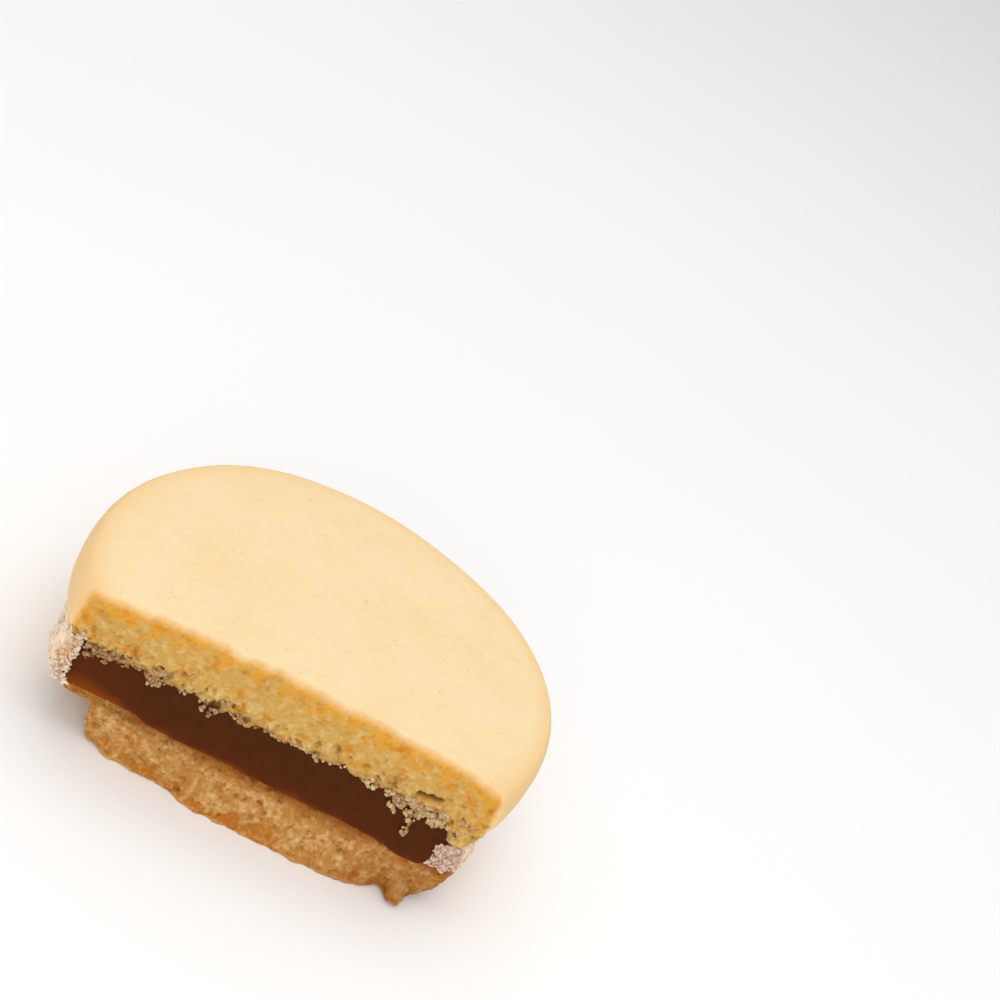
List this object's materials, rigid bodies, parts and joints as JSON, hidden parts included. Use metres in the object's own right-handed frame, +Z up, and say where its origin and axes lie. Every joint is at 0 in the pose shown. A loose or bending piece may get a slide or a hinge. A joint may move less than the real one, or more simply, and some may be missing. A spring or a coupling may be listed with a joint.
{
  "type": "cut alfajor cookie",
  "caption": "Round cornflour sandwich cookie cut straight across, with a thick brown caramel layer between a domed upper biscuit and a lower biscuit.",
  "frame": {"origin": "bottom centre of the whole's bounding box, on the surface that it rests on", "axes": "+Z up through the layers, +X along the cut, cut faces looking to -Y"},
  "size_m": [0.066, 0.0492, 0.0242],
  "materials": {
    "upper_biscuit": "matte pale baked crust, golden porous crumb at the cut",
    "caramel_filling": "smooth satin dark brown caramel, fine whitish coconut on its rim",
    "lower_biscuit": "matte golden brown crust and crumb"
  },
  "bodies": {
    "root": {"biscuit_top": "upper_biscuit", "filling": "caramel_filling", "biscuit_bottom": "lower_biscuit"}
  },
  "joints": []
}
